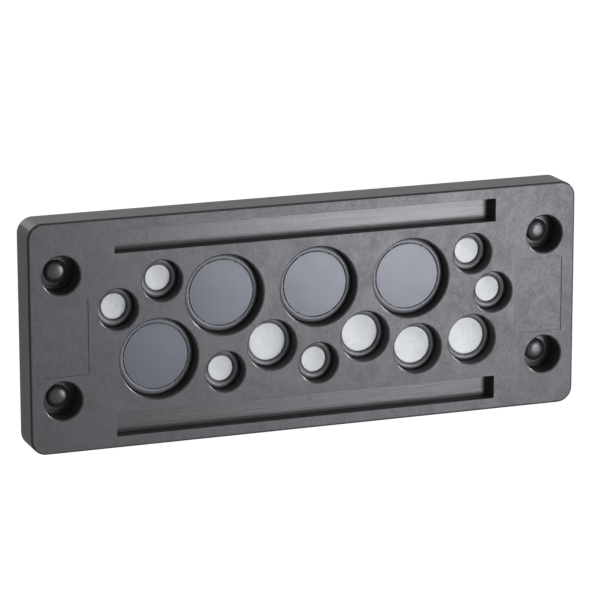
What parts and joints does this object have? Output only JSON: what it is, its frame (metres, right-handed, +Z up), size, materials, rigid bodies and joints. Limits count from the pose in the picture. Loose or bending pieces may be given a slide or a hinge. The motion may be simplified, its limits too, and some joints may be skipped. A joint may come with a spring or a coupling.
{
  "type": "cable entry plate",
  "caption": "Rectangular plate that closes a panel cut-out and lets cables in through soft sleeves of several sizes; snap collar and gasket behind, screw wells at the corners.",
  "frame": {"origin": "centre of the panel cut-out in the plane of the plate's rear face, which lies on the panel", "axes": "+X to the right along the width and +Z up as seen from the front; +Y from the front through the panel into the cabinet"},
  "size_m": [0.147, 0.0199, 0.059],
  "materials": {
    "frame": "satin",
    "soft": "matte",
    "plug": "satin"
  },
  "bodies": {
    "root": {"frame": "frame", "panel_gasket": "soft", "screw_seal_1": "soft", "screw_seal_2": "soft", "screw_seal_3": "soft", "screw_seal_4": "soft", "large_membrane_1": "soft", "large_membrane_2": "soft", "large_membrane_3": "soft", "large_membrane_4": "soft", "medium_sleeve_1": "soft", "medium_sleeve_2": "soft", "medium_sleeve_3": "soft", "medium_sleeve_4": "soft", "medium_plug_1": "plug", "medium_plug_2": "plug", "medium_plug_3": "plug", "medium_plug_4": "plug", "small_sleeve_1": "soft", "small_sleeve_2": "soft", "small_sleeve_3": "soft", "small_sleeve_4": "soft", "small_sleeve_5": "soft", "small_sleeve_6": "soft", "small_plug_1": "plug", "small_plug_2": "plug", "small_plug_3": "plug", "small_plug_4": "plug", "small_plug_5": "plug", "small_plug_6": "plug"}
  },
  "joints": []
}
